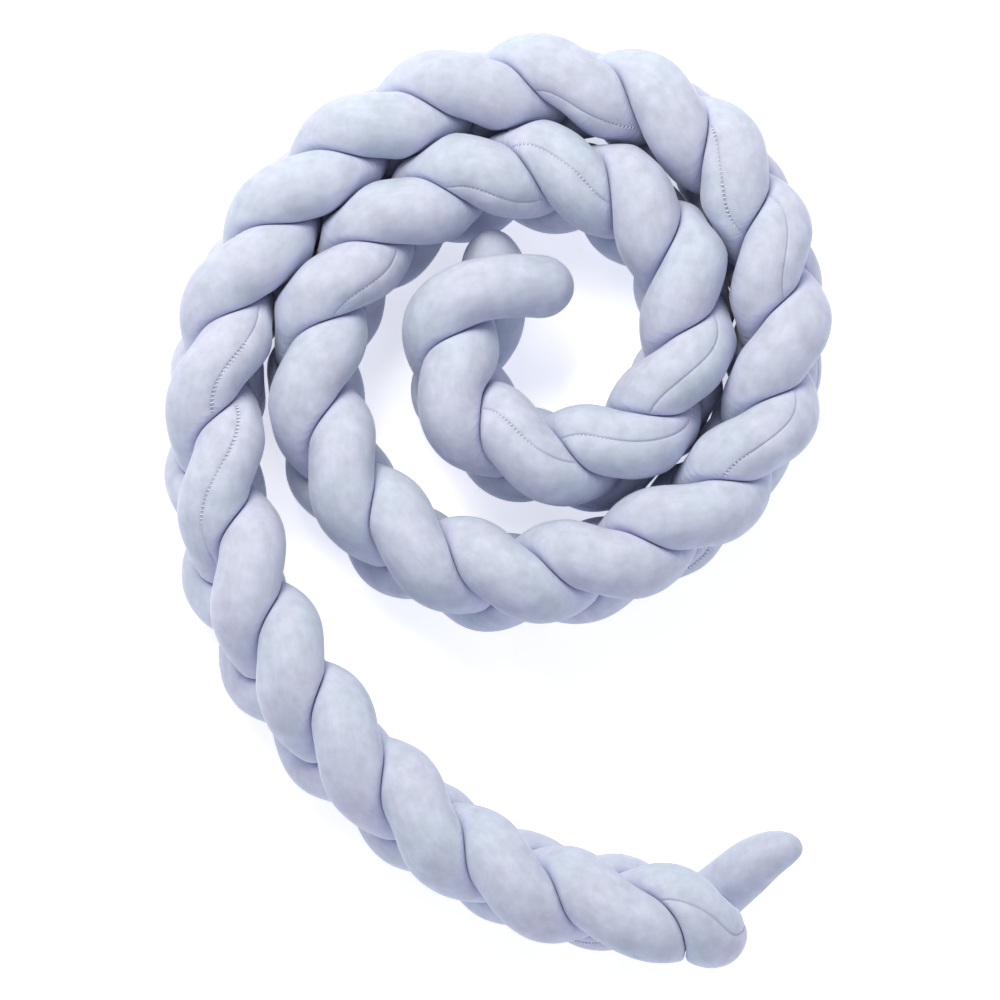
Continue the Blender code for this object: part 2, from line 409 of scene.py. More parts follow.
def column_offsets():
    """The angle of each point from the seam on a round tube, from just past it all the way round to it."""
    steps = np.arange(HALF_COLUMNS)
    gaps = FAR_GAP - (FAR_GAP - SEAM_GAP) * np.exp(-((steps / SEAM_CROWD) ** 2))
    half = np.concatenate([[0.0], np.cumsum(gaps)])
    half *= math.pi / half[-1]
    return np.concatenate([half, (2.0 * math.pi - half[1:-1])[::-1]])


OFFSETS = column_offsets()
COLUMNS = len(OFFSETS)
FROM_SEAM = np.minimum(OFFSETS, 2.0 * math.pi - OFFSETS) * TUBE_WIDTH / 2.0  # metres along the cloth
print("points in a ring:", COLUMNS)

# %% [markdown]
# ## The stuffed wall
#
# A stuffed tube is round where it is free and flat where a neighbour presses, and cloth hardly stretches, so
# its girth stays the same: what a neighbour takes away on one side swells the others. Each wall therefore
# reaches to the halfway surface between its own middle and the neighbours' middles, or to the free radius
# where that is nearer, and a few rounds find the swell that keeps the girth. A physics simulation of three
# pressed tubes nearly four metres long would take far longer and could push them through each other.

# %% How far a tube can reach
SAME_STRETCH = 3.0  # crossings along the plait within which a tube doesn't press itself
NEIGHBOUR_SAMPLES = 80  # points for each crossing
NEIGHBOUR_REACH = 2.2 * TUBE_WIDTH
TIP_SHARE = 0.15  # crossings at each tip that press no neighbour


def middles_of_all():
    """Points on the middle of each tube, with their crossings."""
    found = []
    for tube, (name, first, last, *_) in enumerate(TUBES):
        count = round((last - first) * NEIGHBOUR_SAMPLES)
        places = np.linspace(first + TIP_SHARE, last - TIP_SHARE, count)
        found.append((places, tube_line(tube, places)))
    return found


MIDDLES = middles_of_all()


def room_around(tube, crossing, middle, directions):
    """How far the tube can reach each way before it meets halfway with a neighbour."""
    room = np.full(len(directions), NEIGHBOUR_REACH)
    for other, (places, points) in enumerate(MIDDLES):
        apart = points - middle
        next_round = np.abs(places - crossing) > SAME_STRETCH
        near = (apart**2).sum(axis=1) < NEIGHBOUR_REACH**2
        near &= next_round | (other != tube)
        apart = apart[near]
        if not len(apart):
            continue
        clearance = np.where(next_round[near], COIL_CLEARANCE, CLEARANCE)
        facing = directions @ apart.T + clearance
        reach = ((apart**2).sum(axis=1) - clearance**2) / np.maximum(2.0 * facing, 1e-6)
        reach = np.where(facing > 1e-6, reach, NEIGHBOUR_REACH)
        room = np.minimum(room, reach.min(axis=1))
    return room


# %% How the stuffing fills it
CREASE = 0.0022  # how gently the wall turns where a neighbour starts to press
SWELL_LIMIT = 1.16
SWELL_RUN = 0.045  # metres along the tube over which the swell evens out
STUFFING_ROUNDS = 6
STUFFING_SHARE = 0.8
NARROWEST_CAP = 0.2  # a closed end narrower than this share of the full width doesn't swell
THINNEST = 0.0005  # the least that a wall keeps off its own middle


def soft_minimum(a, b):
    return -CREASE * np.log(np.exp(-a / CREASE) + np.exp(-b / CREASE))


def girth(radii, angles):
    x = radii * np.cos(angles)
    y = radii * np.sin(angles)
    return np.hypot(np.roll(x, -1, axis=1) - x, np.roll(y, -1, axis=1) - y).sum(axis=1)


def evened(values, taps):
    """Values averaged with their neighbours along the first axis."""
    weights = np.hanning(taps + 2)[1:-1]
    weights /= weights.sum()
    padded = np.pad(values, taps // 2, mode="edge")
    return np.convolve(padded, weights, "valid")


def stuffed_radii(room, roundness, angles):
    """The tube's reach each way: round where free, flat where pressed, and of one girth throughout."""
    full_girth = TUBE_WIDTH / 2.0 * girth(np.ones_like(angles[:1]), angles[:1])[0]
    wanted = full_girth * np.maximum(roundness, NARROWEST_CAP)
    taps = 2 * round(SWELL_RUN / RING_STEP / 2.0) + 1
    swell = np.ones(len(room))
    for _ in range(STUFFING_ROUNDS):
        free = TUBE_WIDTH / 2.0 * swell * roundness
        radii = soft_minimum(free[:, None], room)
        swell *= (wanted / girth(radii, angles)) ** STUFFING_SHARE
        swell = evened(np.clip(swell, 1.0, SWELL_LIMIT), taps)
    return np.maximum(radii, THINNEST)


# %% Draw the walls
PRESSED_DEPTH = 0.0030  # the room a wall needs before its lumps and seam show in full
FLAT_TIP = 0.15  # the share of a cap, at its very tip, that carries no lumps
CREASE_REACH = 0.008  # how far off its neighbour a wall still shows the gathers of a crease


def floor_below(middle, directions):
    """How far the tube can reach each way before it meets the floor."""
    down = -directions[:, 2]
    return np.where(down > 1e-6, middle[2] / np.maximum(down, 1e-6), NEIGHBOUR_REACH)


def tube_wall(tube):
    """A tube's rings and their middles, its tips, the way out at each point, and where the wall is free."""
    places, roundness = ring_places(tube)
    middles = tube_line(tube, places)
    first, second = ring_axes(middles)
    angles = seam_turn(tube, places)[:, None] + OFFSETS
    across = np.cos(angles)[..., None] * first[:, None] + np.sin(angles)[..., None] * second[:, None]
    room = np.array([room_around(tube, *ring) for ring in zip(places, middles, across)])
    floor_room = np.array([floor_below(*ring) for ring in zip(middles, across)])
    room = np.minimum(room, floor_room)
    radii = stuffed_radii(room, roundness, angles)
    free = smooth_step((room - radii) / PRESSED_DEPTH) * smooth_step(roundness / FLAT_TIP - 1.0)[:, None]
    near_crease = np.exp(-(((room - radii) / CREASE_REACH) ** 2))
    rings = middles[:, None] + radii[..., None] * across
    tips = tube_line(tube, np.array(TUBES[tube][1:3]))
    return {
        "rings": rings,
        "middles": middles,
        "tips": tips,
        "outward": across,
        "free": free,
        "near_crease": near_crease,
    }


walls = [tube_wall(tube) for tube in range(len(TUBES))]
everything = np.concatenate([wall["rings"].reshape(-1, 3) for wall in walls])
centre = (everything.min(axis=0) + everything.max(axis=0)) / 2.0
for wall in walls:
    for part in ("rings", "middles", "tips"):
        wall[part][..., :2] -= centre[:2]
print("rings:", [len(wall["rings"]) for wall in walls], "centre moved by", np.round(centre[:2], 4))

# %% [markdown]
# ## From rings to a mesh
#
# Neighbouring rings are joined by quads and each tip is closed by a fan. Each point also keeps what the next
# steps need to know of it: which way is out, how far it lies from the seam, and whether it is free or pressed
# by a neighbour. Attributes on the mesh carry that better than separate lists, as any node can read them.


# %% Join the rings
def wall_faces(rings, columns):
    """Quads between neighbouring rings, and a fan at each tip, all facing out."""
    start = (np.arange(rings - 1) * columns)[:, None]
    here = np.arange(columns)[None, :]
    after = (here + 1) % columns
    quads = np.stack([start + here, start + after, start + after + columns, start + here + columns], axis=-1)
    tail_tip = rings * columns
    last = (rings - 1) * columns
    here, after = here[0], after[0]
    tail_fan = np.stack([np.full(columns, tail_tip), after, here], axis=-1)
    inner_fan = np.stack([np.full(columns, tail_tip + 1), last + here, last + after], axis=-1)
    return quads.reshape(-1, 4).tolist() + tail_fan.tolist() + inner_fan.tolist()


def give_attribute(mesh, name, values, kind="FLOAT"):
    attribute = mesh.attributes.new(name, kind, "POINT")
    field = "vector" if kind == "FLOAT_VECTOR" else "value"
    attribute.data.foreach_set(field, np.asarray(values, np.float32).ravel())


def make_tube(tube):
    name = TUBES[tube][0] + "_velvet"
    wall = walls[tube]
    rings, columns = wall["rings"].shape[:2]
    points = np.concatenate([wall["rings"].reshape(-1, 3), wall["tips"]])
    mesh = bpy.data.meshes.new(name)
    mesh.from_pydata(points.tolist(), [], wall_faces(rings, columns))
    mesh.shade_smooth()
    outward = np.concatenate([wall["outward"].reshape(-1, 3), np.zeros((2, 3))])
    give_attribute(mesh, "outward", outward, "FLOAT_VECTOR")
    give_attribute(mesh, "free", np.append(wall["free"].ravel(), [0.0, 0.0]))
    give_attribute(mesh, "near_crease", np.append(wall["near_crease"].ravel(), [0.0, 0.0]))
    give_attribute(mesh, "from_seam", np.append(np.tile(FROM_SEAM, rings), [1.0, 1.0]))
    piece = bpy.data.objects.new(name, mesh)
    bpy.context.scene.collection.objects.link(piece)
    print(name, len(mesh.polygons), "faces")
    return piece


tubes = [make_tube(tube) for tube in range(len(TUBES))]

# %% [markdown]
# ## Lumps, the pinch of the seam, and its puckers
#
# No hand-stuffed tube is perfectly smooth. The fibre lies in soft lumps. Along the sewn seam the two edges of
# the cloth roll inwards, so the wall is pinched there, and small puckers run away from the stitches for about
# a centimetre. All of this follows the surface by rule, so Geometry Nodes do it: the tree reads each point's
# attributes and moves it in or out. Where a neighbour presses, the wall stays as flat as it is.


# %% Helpers for node trees
def add_node(tree, kind, settings=None, **inputs):
    """A node with its settings, and its inputs by name: a value, or another node's output."""
    node = tree.nodes.new(kind)
    for key, value in (settings or {}).items():
        setattr(node, key, value)
    for key, value in inputs.items():
        put(tree, value, node.inputs[key.replace("_", " ")])
    return node


def put(tree, value, socket):
    if isinstance(value, bpy.types.NodeSocket):
        tree.links.new(value, socket)
    else:
        socket.default_value = value


def calculate(tree, operation, *values):
    """A Math node's result from numbers or other nodes' outputs."""
    node = tree.nodes.new("ShaderNodeMath")
    node.operation = operation
    for value, socket in zip(values, node.inputs):
        put(tree, value, socket)
    return node.outputs[0]


def bell(tree, distance, width):
    """1 at no distance, falling off smoothly over the width."""
    square = calculate(tree, "POWER", calculate(tree, "DIVIDE", distance, width), 2.0)
    return calculate(tree, "EXPONENT", calculate(tree, "MULTIPLY", square, -1.0))


def noise(tree, place, scale, detail=2.0, roughness=0.5, seed=0.0):
    node = add_node(tree, "ShaderNodeTexNoise", {"noise_dimensions": "4D"}, Vector=place, W=seed, Scale=scale)
    node.inputs["Detail"].default_value = detail
    node.inputs["Roughness"].default_value = roughness
    return node.outputs["Fac"]


def named_value(tree, name, kind="FLOAT"):
    node = add_node(tree, "GeometryNodeInputNamedAttribute", {"data_type": kind}, Name=name)
    return node.outputs["Attribute"]


def new_tree(name, sizes):
    """An empty tree with named inputs, and the identifiers by which a modifier sets them."""
    tree = bpy.data.node_groups.new(name, "GeometryNodeTree")
    tree.interface.new_socket("Geometry", in_out="INPUT", socket_type="NodeSocketGeometry")
    tree.interface.new_socket("Geometry", in_out="OUTPUT", socket_type="NodeSocketGeometry")
    identifiers = {}
    for label, value in sizes.items():
        socket = tree.interface.new_socket(label, in_out="INPUT", socket_type="NodeSocketFloat")
        socket.default_value = value
        identifiers[label] = socket.identifier
    return tree, identifiers, tree.nodes.new("NodeGroupInput").outputs


def finish_tree(tree, geometry, material):
    """Ends a tree: instances made real, and the material set."""
    real = add_node(tree, "GeometryNodeRealizeInstances", Geometry=geometry)
    dressed = add_node(tree, "GeometryNodeSetMaterial", Geometry=real.outputs["Geometry"], Material=material)
    end = tree.nodes.new("NodeGroupOutput")
    tree.links.new(dressed.outputs["Geometry"], end.inputs["Geometry"])


def run_tree(piece, tree, identifiers, values):
    """Runs a tree on a piece and leaves a plain mesh."""
    modifier = piece.modifiers.new(tree.name, "NODES")
    modifier.node_group = tree
    for label, value in values.items():
        modifier[identifiers[label]] = value
    evaluated = piece.evaluated_get(bpy.context.evaluated_depsgraph_get())
    mesh = bpy.data.meshes.new_from_object(evaluated)
    piece.modifiers.clear()
    before = piece.data
    piece.data = mesh
    bpy.data.meshes.remove(before)
    mesh.shade_smooth()
    print(piece.name, len(mesh.polygons), "faces")


# %% [markdown]
# ## The velvet
#
# Short-pile velvet looks pale where its pile turns its sides to the eye, and deep where one looks down into
# it. The sheen of the shader does that at the edges of each lobe. The colour itself drifts a little where the
# pile was brushed one way or the other: cloudy patches a few centimetres wide, some a touch warmer and some a
# touch cooler, and small streaks along the cloth. Layers of fine bump stand for the nap and its tufts. Where
# two tubes meet, small gathers run round each, and painted shade tints the colour lavender at the crease, for
# the shade and bounced light there. Painted shade also darkens the seam's groove and the pits between
# stitches.

# %% Sizes and colours of the velvet
VELVET_COOL = (0.478, 0.540, 0.665)
VELVET_MIDDLE = (0.496, 0.538, 0.675)
VELVET_WARM = (0.512, 0.535, 0.680)
CREASE_PAINTED_SHADE_COLOUR = (0.540, 0.560, 0.800)  # painted crease shade: a lavender tint where pile meets pile, for the shade and bounced light there
BRUSHED_DARK = 0.86  # of the colour, where the pile lies towards the eye
BRUSHED_LIGHT = 1.07
# Painted shade: the seam's groove and the pits between its stitches are darkened towards this colour.
SEAM_PAINTED_SHADE = (0.250, 0.270, 0.400)
TINT_SCALE = 20.0
CLOUD_SCALE = 70.0
BRUSH_SCALE = 190.0
TUFT_SCALE = 1100.0
VELVET_ROUGHNESS = (0.70, 0.95)
STITCH_PITCH = 0.0036
PIT_HALF_WIDTH = 0.0016
OPEN_SCALE = 9.0  # how often the seam opens enough for its stitches to show
OPEN_SEED = 2.0
SEAM_SHARE = 0.12  # of the painted seam shade in the colour along the whole groove
PIT_SHARE = 0.16  # and in each pit, painted shade in the hole between stitches
CREASE_PAINTED_SHADE_SHARE = 0.35  # of the painted crease shade in the colour, at its strongest
GATHER_LENGTH = 0.0045  # from one small gather to the next, along the tube
GATHER_STRETCH = 7.0  # how many times longer a gather is round the tube than along it
# strength and depth in metres
CLOUD_BUMP = (0.25, 0.0012)
STREAK_BUMP = (0.25, 0.0005)
TUFT_BUMP = (0.35, 0.0003)
GATHER_BUMP = (0.5, 0.0009)
PIT_BUMP = (0.5, 0.0006)


# %% Helpers for materials
def new_material(name):
    material = bpy.data.materials.new(name)
    material.use_nodes = True
    tree = material.node_tree
    return material, tree, tree.nodes["Principled BSDF"]


def colour_ramp(tree, factor, stops):
    node = add_node(tree, "ShaderNodeValToRGB", Fac=factor)
    ramp = node.color_ramp
    while len(ramp.elements) < len(stops):
        ramp.elements.new(0.5)
    for element, (place, colour) in zip(ramp.elements, stops):
        element.position = place
        element.color = (*colour, 1.0)
    return node.outputs["Color"]


def mix_colour(tree, share, first, second, blend="MIX"):
    node = add_node(tree, "ShaderNodeMix", {"data_type": "RGBA", "blend_type": blend})
    put(tree, share, node.inputs[0])
    put(tree, first, node.inputs[6])
    put(tree, second, node.inputs[7])
    return node.outputs[2]


def spread(tree, value, low, high, to_low=0.0, to_high=1.0):
    node = add_node(tree, "ShaderNodeMapRange", Value=value, From_Min=low, From_Max=high)
    node.inputs["To Min"].default_value = to_low
    node.inputs["To Max"].default_value = to_high
    return node.outputs["Result"]


def bump(tree, height, strength, distance, below=None):
    node = add_node(tree, "ShaderNodeBump", Height=height, Strength=strength, Distance=distance)
    if below:
        tree.links.new(below, node.inputs["Normal"])
    return node.outputs["Normal"]


def seam_openness(tree, place):
    """How far the seam opens: its stitches show where this is 1 and are rolled in where it is 0."""
    return spread(tree, noise(tree, place, OPEN_SCALE, seed=OPEN_SEED), 0.42, 0.55)


# %% The pits between the stitches
def stitch_pits(tree, place, cloth):
    """1 in each small pit along the seam, 0 elsewhere."""
    distance = add_node(tree, "ShaderNodeAttribute", {"attribute_name": "from_seam"}).outputs["Fac"]
    free = add_node(tree, "ShaderNodeAttribute", {"attribute_name": "free"}).outputs["Fac"]
    along = add_node(tree, "ShaderNodeSeparateXYZ", Vector=cloth).outputs["Y"]
    turns = calculate(tree, "MULTIPLY", along, 2.0 * math.pi / STITCH_PITCH)
    row = spread(tree, calculate(tree, "COSINE", turns), -0.1, 0.7)
    near = calculate(tree, "MULTIPLY", bell(tree, distance, PIT_HALF_WIDTH), free)
    uneven = spread(tree, noise(tree, place, 1.0 / STITCH_PITCH, 0.0), 0.25, 0.6)
    shown = calculate(tree, "MULTIPLY", calculate(tree, "MULTIPLY", row, uneven), seam_openness(tree, place))
    return calculate(tree, "MULTIPLY", near, shown), near


# %% The small gathers at a crease
def gathers(tree, cloth, seed):
    """Fine ripples that run round the tube, strongest where it bends into a crease."""
    near = add_node(tree, "ShaderNodeAttribute", {"attribute_name": "near_crease"}).outputs["Fac"]
    free = add_node(tree, "ShaderNodeAttribute", {"attribute_name": "free"}).outputs["Fac"]
    near = calculate(tree, "MULTIPLY", near, free)
    fine = 1.0 / GATHER_LENGTH
    scale = (fine / GATHER_STRETCH, fine, 1.0)
    stretched = add_node(tree, "ShaderNodeMapping", Vector=cloth, Scale=scale).outputs["Vector"]
    ripples = spread(tree, noise(tree, stretched, 1.0, 1.0, 0.5, seed), 0.35, 0.65)
    return calculate(tree, "MULTIPLY", ripples, near)


# %% The velvet material
def velvet_material(name, seed):
    material, tree, shader = new_material(name)
    place = add_node(tree, "ShaderNodeTexCoord").outputs["Object"]
    cloth = add_node(tree, "ShaderNodeUVMap", {"uv_map": "cloth"}).outputs["UV"]
    brushed = add_node(tree, "ShaderNodeMapping", Vector=cloth, Scale=(1.0, 0.5, 1.0)).outputs["Vector"]
    tint = noise(tree, place, TINT_SCALE, 2.0, 0.5, seed)
    clouds = noise(tree, place, CLOUD_SCALE, 4.0, 0.6, seed)
    streaks = noise(tree, brushed, BRUSH_SCALE, 3.0, 0.55, seed)
    tufts = noise(tree, place, TUFT_SCALE, 2.0, 0.6, seed)
    colour = colour_ramp(tree, tint, [(0.35, VELVET_COOL), (0.5, VELVET_MIDDLE), (0.65, VELVET_WARM)])
    lie = calculate(tree, "MULTIPLY_ADD", streaks, 0.4, clouds)
    level = spread(tree, lie, 0.5, 0.9, BRUSHED_DARK, BRUSHED_LIGHT)
    grey = add_node(tree, "ShaderNodeCombineColor", Red=level, Green=level, Blue=level).outputs["Color"]
    colour = mix_colour(tree, 1.0, colour, grey, "MULTIPLY")
    # Painted shade: near each crease the colour is tinted lavender, for the shade and bounced light there.
    crease_painted_shade = add_node(tree, "ShaderNodeAttribute", {"attribute_name": "near_crease"}).outputs["Fac"]
    colour = mix_colour(tree, calculate(tree, "MULTIPLY", crease_painted_shade, CREASE_PAINTED_SHADE_SHARE), colour, (*CREASE_PAINTED_SHADE_COLOUR, 1.0))
    # Painted shade: the colour is darkened along the seam's groove, and more in each pit between stitches.
    pits, near_seam = stitch_pits(tree, place, cloth)
    pit_painted_shade = calculate(tree, "MULTIPLY", pits, PIT_SHARE)
    shade = calculate(tree, "MULTIPLY_ADD", near_seam, SEAM_SHARE, pit_painted_shade)
    colour = mix_colour(tree, shade, colour, (*SEAM_PAINTED_SHADE, 1.0))
    tree.links.new(colour, shader.inputs["Base Color"])
    rough = spread(tree, streaks, 0.3, 0.7, *VELVET_ROUGHNESS)
    tree.links.new(rough, shader.inputs["Roughness"])
    nap = bump(tree, clouds, *CLOUD_BUMP)
    nap = bump(tree, streaks, *STREAK_BUMP, nap)
    nap = bump(tree, tufts, *TUFT_BUMP, nap)
    nap = bump(tree, gathers(tree, cloth, seed), *GATHER_BUMP, nap)
    nap = bump(tree, calculate(tree, "MULTIPLY", pits, -1.0), *PIT_BUMP, nap)
    tree.links.new(nap, shader.inputs["Normal"])
    shader.inputs["Specular IOR Level"].default_value = 0.2
    shader.inputs["Sheen Weight"].default_value = 0.45
    shader.inputs["Sheen Roughness"].default_value = 0.28
    shader.inputs["Sheen Tint"].default_value = (0.92, 0.95, 1.0, 1.0)
    return material


velvets = [velvet_material(name + " velvet", 3.0 * tube) for tube, (name, *_) in enumerate(TUBES)]
print("velvets:", [material.name for material in velvets])

# %% The tree that shapes the cloth
CLOTH_SIZES = {
    "Lump Depth": 0.0030,
    "Lump Scale": 22.0,
    "Groove Depth": 0.0012,
    "Groove Width": 0.0008,
    "Pinch Depth": 0.0012,
    "Pinch Width": 0.0055,
    "Pucker Depth": 0.0016,
    "Pucker Length": 0.0085,
    "Pucker Reach": 0.0065,
    "Seed": 0.0,
}


def cloth_tree(material):
    tree, identifiers, start = new_tree("lumps and seam", CLOTH_SIZES)
    place = tree.nodes.new("GeometryNodeInputPosition").outputs["Position"]
    distance = named_value(tree, "from_seam")
    lumps = calculate(tree, "SUBTRACT", noise(tree, place, start["Lump Scale"], 1.0, 0.4, start["Seed"]), 0.5)
    lumps = calculate(tree, "MULTIPLY", lumps, start["Lump Depth"])
    groove_here = bell(tree, distance, start["Groove Width"])
    groove = calculate(tree, "MULTIPLY", groove_here, start["Groove Depth"])
    pinch = calculate(tree, "MULTIPLY", bell(tree, distance, start["Pinch Width"]), start["Pinch Depth"])
    fineness = calculate(tree, "DIVIDE", 1.0, start["Pucker Length"])
    puckers = calculate(tree, "SUBTRACT", noise(tree, place, fineness, 0.0, 0.5, start["Seed"]), 0.5)
    fade = calculate(tree, "MULTIPLY", bell(tree, distance, start["Pucker Reach"]), start["Pucker Depth"])
    fade = calculate(tree, "MULTIPLY", fade, seam_openness(tree, place))
    puckers = calculate(tree, "MULTIPLY", puckers, fade)
    inwards = calculate(tree, "ADD", groove, pinch)
    moved = calculate(tree, "SUBTRACT", calculate(tree, "ADD", lumps, puckers), inwards)
    moved = calculate(tree, "MULTIPLY", moved, named_value(tree, "free"))
    offset = add_node(tree, "ShaderNodeVectorMath", {"operation": "SCALE"})
    put(tree, named_value(tree, "outward", "FLOAT_VECTOR"), offset.inputs[0])
    put(tree, moved, offset.inputs["Scale"])
    offset = offset.outputs["Vector"]
    shaped = add_node(tree, "GeometryNodeSetPosition", Geometry=start["Geometry"], Offset=offset)
    above_floor = add_node(tree, "ShaderNodeVectorMath", {"operation": "MAXIMUM"})
    put(tree, place, above_floor.inputs[0])
    above_floor.inputs[1].default_value = (-FLOOR_HALF, -FLOOR_HALF, 0.0)
    shaped = shaped.outputs["Geometry"]
    above_floor = above_floor.outputs["Vector"]
    rested = add_node(tree, "GeometryNodeSetPosition", Geometry=shaped, Position=above_floor)
    finish_tree(tree, rested.outputs["Geometry"], material)
    return tree, identifiers


for tube, piece in enumerate(tubes):
    run_tree(piece, *cloth_tree(velvets[tube]), {"Seed": 3.0 * tube})

# %% [markdown]
# ## Loose ends that meet
#
# Along the plait each wall stops halfway to its neighbours. Past a tube's tip there is no middle line left to
# share the room with, so two ends can reach a few millimetres into each other. Real ends push each other
# aside. Here the walls round the tips are drawn apart afterwards: a point that lies inside another tube, or
# nearer than the clearance, moves back towards its own middle, a share of the way in each of a few rounds.

# %% Draw the loose ends apart
PARTING_REACH = 0.085  # metres round a tip within which points are moved
PARTING_MARGIN = 0.020  # and how much further other walls are looked at
PARTING_ROUNDS = 14
PARTING_SHARE = 0.6
PARTING_DEPTH = 0.012  # the deepest that one end reaches into another


def mesh_points(mesh):
    points = np.zeros(len(mesh.vertices) * 3, np.float32)
    mesh.vertices.foreach_get("co", points)
    return points.reshape(-1, 3).astype(float)


def missing_clearance(points, tree):
    """How much of the clearance to another tube's wall each point lacks."""
    missing = np.zeros(len(points))
    for i, point in enumerate(points):
        place, normal, _, distance = tree.find_nearest(Vector(point), PARTING_DEPTH)
        if place is not None:
            inside = (Vector(point) - place).dot(normal) < 0.0
            missing[i] = max(0.0, CLEARANCE + (distance if inside else -distance))
    return missing


def end_shape(piece, wall, ends):
    """A tube's points, the middle each moves towards, which lie near a tip, and the faces there."""
    points = mesh_points(piece.data)
    rings = len(wall["rings"])
    inner = np.clip(np.arange(rings), CAP_RINGS, rings - 1 - CAP_RINGS)
    of_rings = np.repeat(wall["middles"][inner], COLUMNS, axis=0)
    of_tips = wall["middles"][inner[[0, -1]]]
    far = np.linalg.norm(points[:, None] - ends, axis=2).min(axis=1)
    faces = [tuple(face.vertices) for face in piece.data.polygons]
    faces = [face for face in faces if far[face[0]] < PARTING_REACH + PARTING_MARGIN]
    return points, np.concatenate([of_rings, of_tips]), np.flatnonzero(far < PARTING_REACH), faces


def part_loose_ends():
    ends = np.concatenate([wall["tips"] for wall in walls])
    shapes = [end_shape(piece, wall, ends) for piece, wall in zip(tubes, walls)]
    for _ in range(PARTING_ROUNDS):
        trees = [BVHTree.FromPolygons(points.tolist(), faces) for points, _, _, faces in shapes]
        most = 0.0
        for tube, (points, hearts, near, _) in enumerate(shapes):
            others = trees[:tube] + trees[tube + 1 :]
            missing = np.max([missing_clearance(points[near], tree) for tree in others], axis=0)
            inwards = hearts[near] - points[near]
            inwards /= np.linalg.norm(inwards, axis=1, keepdims=True)
            points[near] += inwards * (PARTING_SHARE * missing)[:, None]
            most = max(most, missing.max())
    for piece, (points, *_) in zip(tubes, shapes):
        piece.data.vertices.foreach_set("co", points.astype(np.float32).ravel())
        piece.data.update()
    print("clearance missing before the last round, in mm:", round(most * 1000.0, 2))


part_loose_ends()

# %% [markdown]
# ## The cloth's own coordinates
#
# On the real tube the pile was laid along the cloth before it was sewn, and the stitches are even along the
# seam, not along the tube's middle. So the cloth gets flat coordinates in metres: across from the seam, and
# along it as a tape laid in the groove would measure. The nap and the pits between stitches follow those.


# %% Measure along the seam
def measure_seam(tube):
    """The points at the bottom of the groove, and how far along the seam each lies."""
    rings = len(walls[tube]["rings"])
    points = mesh_points(tubes[tube].data)[: rings * COLUMNS : COLUMNS]
    steps = np.linalg.norm(np.diff(points, axis=0), axis=1)
    along = np.concatenate([[0.0], np.cumsum(steps)])
    return points, along - along[CAP_RINGS]


def lay_cloth_coordinates(tube):
    mesh = tubes[tube].data
    rings = len(walls[tube]["rings"])
    along = measure_seam(tube)[1]
    across = np.append(OFFSETS, 2.0 * math.pi) * TUBE_WIDTH / 2.0
    loops = np.zeros(len(mesh.loops), np.int32)
    mesh.loops.foreach_get("vertex_index", loops)
    column = loops % COLUMNS
    ring = loops // COLUMNS
    quads = np.arange((rings - 1) * COLUMNS * 4).reshape(-1, 4)
    wraps = quads[COLUMNS - 1 :: COLUMNS][:, 1:3].ravel()
    column[wraps] = COLUMNS
    tip = ring >= rings
    tip_places = np.where(loops == rings * COLUMNS, along[0], along[-1])
    u = np.where(tip, TUBE_WIDTH, across[column])
    v = np.where(tip, tip_places, along[np.minimum(ring, rings - 1)])
    layer = mesh.uv_layers.new(name="cloth")
    layer.data.foreach_set("uv", np.stack([u, v], axis=-1).astype(np.float32).ravel())
    print(mesh.name, "seam is", round(along[-1] - along[0], 2), "m long")


for tube in range(len(TUBES)):
    lay_cloth_coordinates(tube)

# %% [markdown]
# ## The stitches
#
# The seam is held by a row of small stitches that cross it, and they sink into the pile. Thousands of them
# follow one line, which is what Geometry Nodes do well: the seam's line is resampled at the stitch length, a
# short thread is set across it at each point, and all of it becomes a plain mesh at the end.

# %% The thread
THREAD_COLOUR = (0.78, 0.80, 0.90)
THREAD_DARK = (0.66, 0.69, 0.82)


def thread_material():
    material, tree, shader = new_material("seam thread")
    place = add_node(tree, "ShaderNodeTexCoord").outputs["Object"]
    fibres = noise(tree, place, 1800.0)
    colour = colour_ramp(tree, fibres, [(0.35, THREAD_DARK), (0.65, THREAD_COLOUR)])
    tree.links.new(colour, shader.inputs["Base Color"])
    tree.links.new(bump(tree, fibres, 0.4, 0.0001), shader.inputs["Normal"])
    shader.inputs["Roughness"].default_value = 0.65
    shader.inputs["Sheen Weight"].default_value = 0.2
    return material


thread = thread_material()

# %% The tree that sews
STITCH_SIZES = {"Pitch": STITCH_PITCH, "Length": 0.0040, "Width": 0.0010, "Sunk": 0.0034, "Seed": 5.0}
STITCH_VARIES = (0.85, 1.15)
HALF_OPEN = 0.55  # how open the seam is where its stitches lie at the bottom of the groove
PRESSED_SINKS = 2.0  # how many times deeper they lie where a neighbour presses


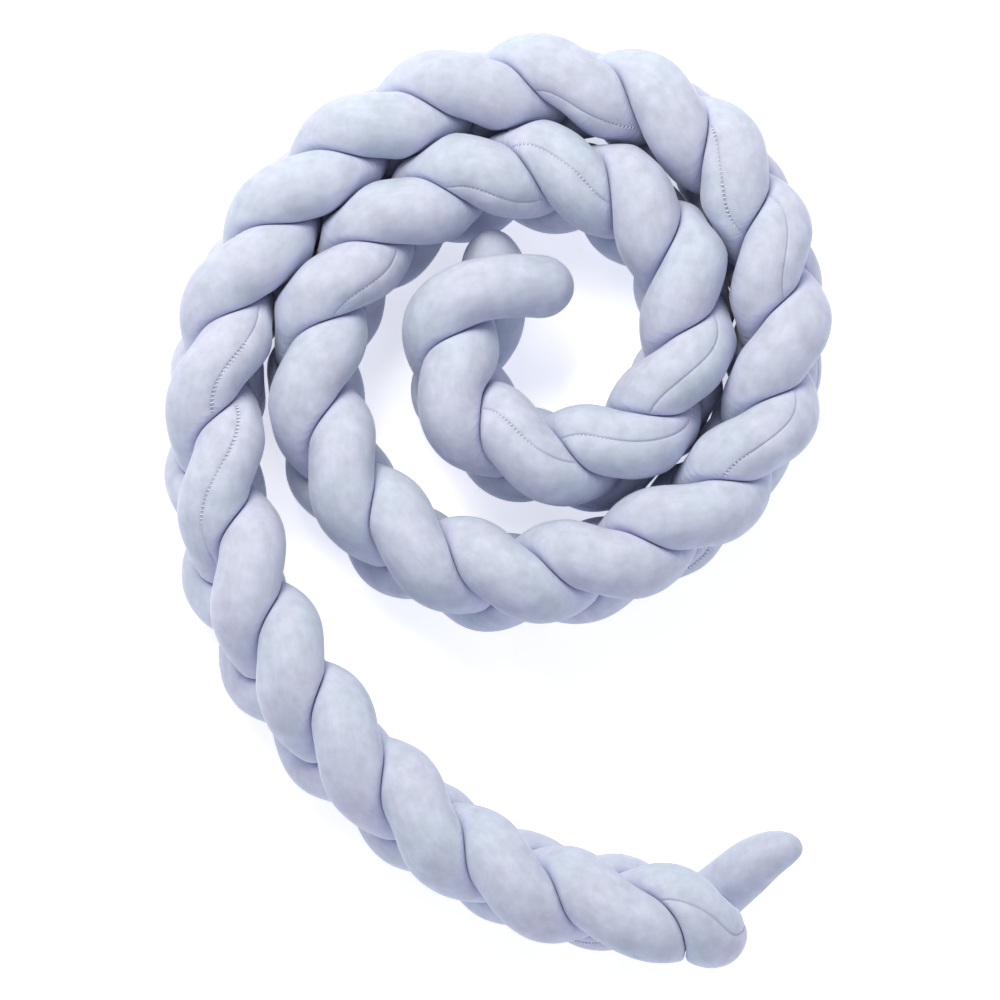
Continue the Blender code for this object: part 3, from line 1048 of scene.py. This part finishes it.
def stitch_tree():
    tree, identifiers, start = new_tree("stitches along a seam", STITCH_SIZES)
    line = add_node(tree, "GeometryNodeMeshToCurve", Mesh=start["Geometry"])
    even = add_node(
        tree,
        "GeometryNodeResampleCurve",
        {"mode": "LENGTH"},
        Curve=line.outputs["Curve"],
        Length=start["Pitch"],
    )
    tangent = tree.nodes.new("GeometryNodeInputTangent").outputs["Tangent"]
    outward = named_value(tree, "outward", "FLOAT_VECTOR")
    turned = add_node(tree, "FunctionNodeAxesToRotation", {"primary_axis": "X", "secondary_axis": "Z"})
    put(tree, tangent, turned.inputs["Primary Axis"])
    put(tree, outward, turned.inputs["Secondary Axis"])
    ball = add_node(tree, "GeometryNodeMeshUVSphere", Segments=6, Rings=4, Radius=0.5)
    size = add_node(tree, "ShaderNodeCombineXYZ", X=start["Width"], Y=start["Length"], Z=start["Width"])
    vary = add_node(tree, "FunctionNodeRandomValue", {"data_type": "FLOAT"}, Seed=start["Seed"])
    vary.inputs[2].default_value, vary.inputs[3].default_value = STITCH_VARIES
    varied = add_node(tree, "ShaderNodeVectorMath", {"operation": "SCALE"}, Vector=size.outputs["Vector"])
    put(tree, vary.outputs[1], varied.inputs["Scale"])
    place = tree.nodes.new("GeometryNodeInputPosition").outputs["Position"]
    raised = calculate(tree, "SUBTRACT", seam_openness(tree, place), HALF_OPEN)
    pressed = calculate(tree, "SUBTRACT", named_value(tree, "free"), 1.0)
    raised = calculate(tree, "MULTIPLY_ADD", pressed, PRESSED_SINKS, raised)
    lift = add_node(tree, "ShaderNodeVectorMath", {"operation": "SCALE"})
    put(tree, outward, lift.inputs[0])
    put(tree, calculate(tree, "MULTIPLY", raised, start["Sunk"]), lift.inputs["Scale"])
    lift = lift.outputs["Vector"]
    lifted = add_node(tree, "GeometryNodeSetPosition", Geometry=even.outputs["Curve"], Offset=lift)
    sewn = add_node(
        tree, "GeometryNodeInstanceOnPoints", Points=lifted.outputs["Geometry"], Instance=ball.outputs["Mesh"]
    )
    put(tree, turned.outputs["Rotation"], sewn.inputs["Rotation"])
    put(tree, varied.outputs["Vector"], sewn.inputs["Scale"])
    finish_tree(tree, sewn.outputs["Instances"], thread)
    return tree, identifiers


# %% Sew the seams
def seam_line(tube):
    """A line of points along the bottom of the groove, with the way out of the cloth at each."""
    points = measure_seam(tube)[0]
    kept = slice(CAP_RINGS, len(points) - CAP_RINGS)
    points = points[kept]
    mesh = bpy.data.meshes.new("seam line")
    mesh.from_pydata(points.tolist(), [(i, i + 1) for i in range(len(points) - 1)], [])
    give_attribute(mesh, "outward", walls[tube]["outward"][kept, 0], "FLOAT_VECTOR")
    give_attribute(mesh, "free", walls[tube]["free"][kept, 0])
    piece = bpy.data.objects.new(TUBES[tube][0] + "_stitches", mesh)
    bpy.context.scene.collection.objects.link(piece)
    return piece


stitches = [seam_line(tube) for tube in range(len(TUBES))]
sewing = stitch_tree()
for tube, piece in enumerate(stitches):
    run_tree(piece, *sewing, {"Seed": STITCH_SIZES["Seed"] + tube})

# %% [markdown]
# ## Hand the pieces over
#
# Each velvet tube stands for its solid, which is hidden, and is fixed to the root body. The stitches ride on
# the same body.

for (name, *_), piece, seam in zip(TUBES, tubes, stitches):
    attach(piece, "root")
    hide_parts(name)
    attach(seam, "root")
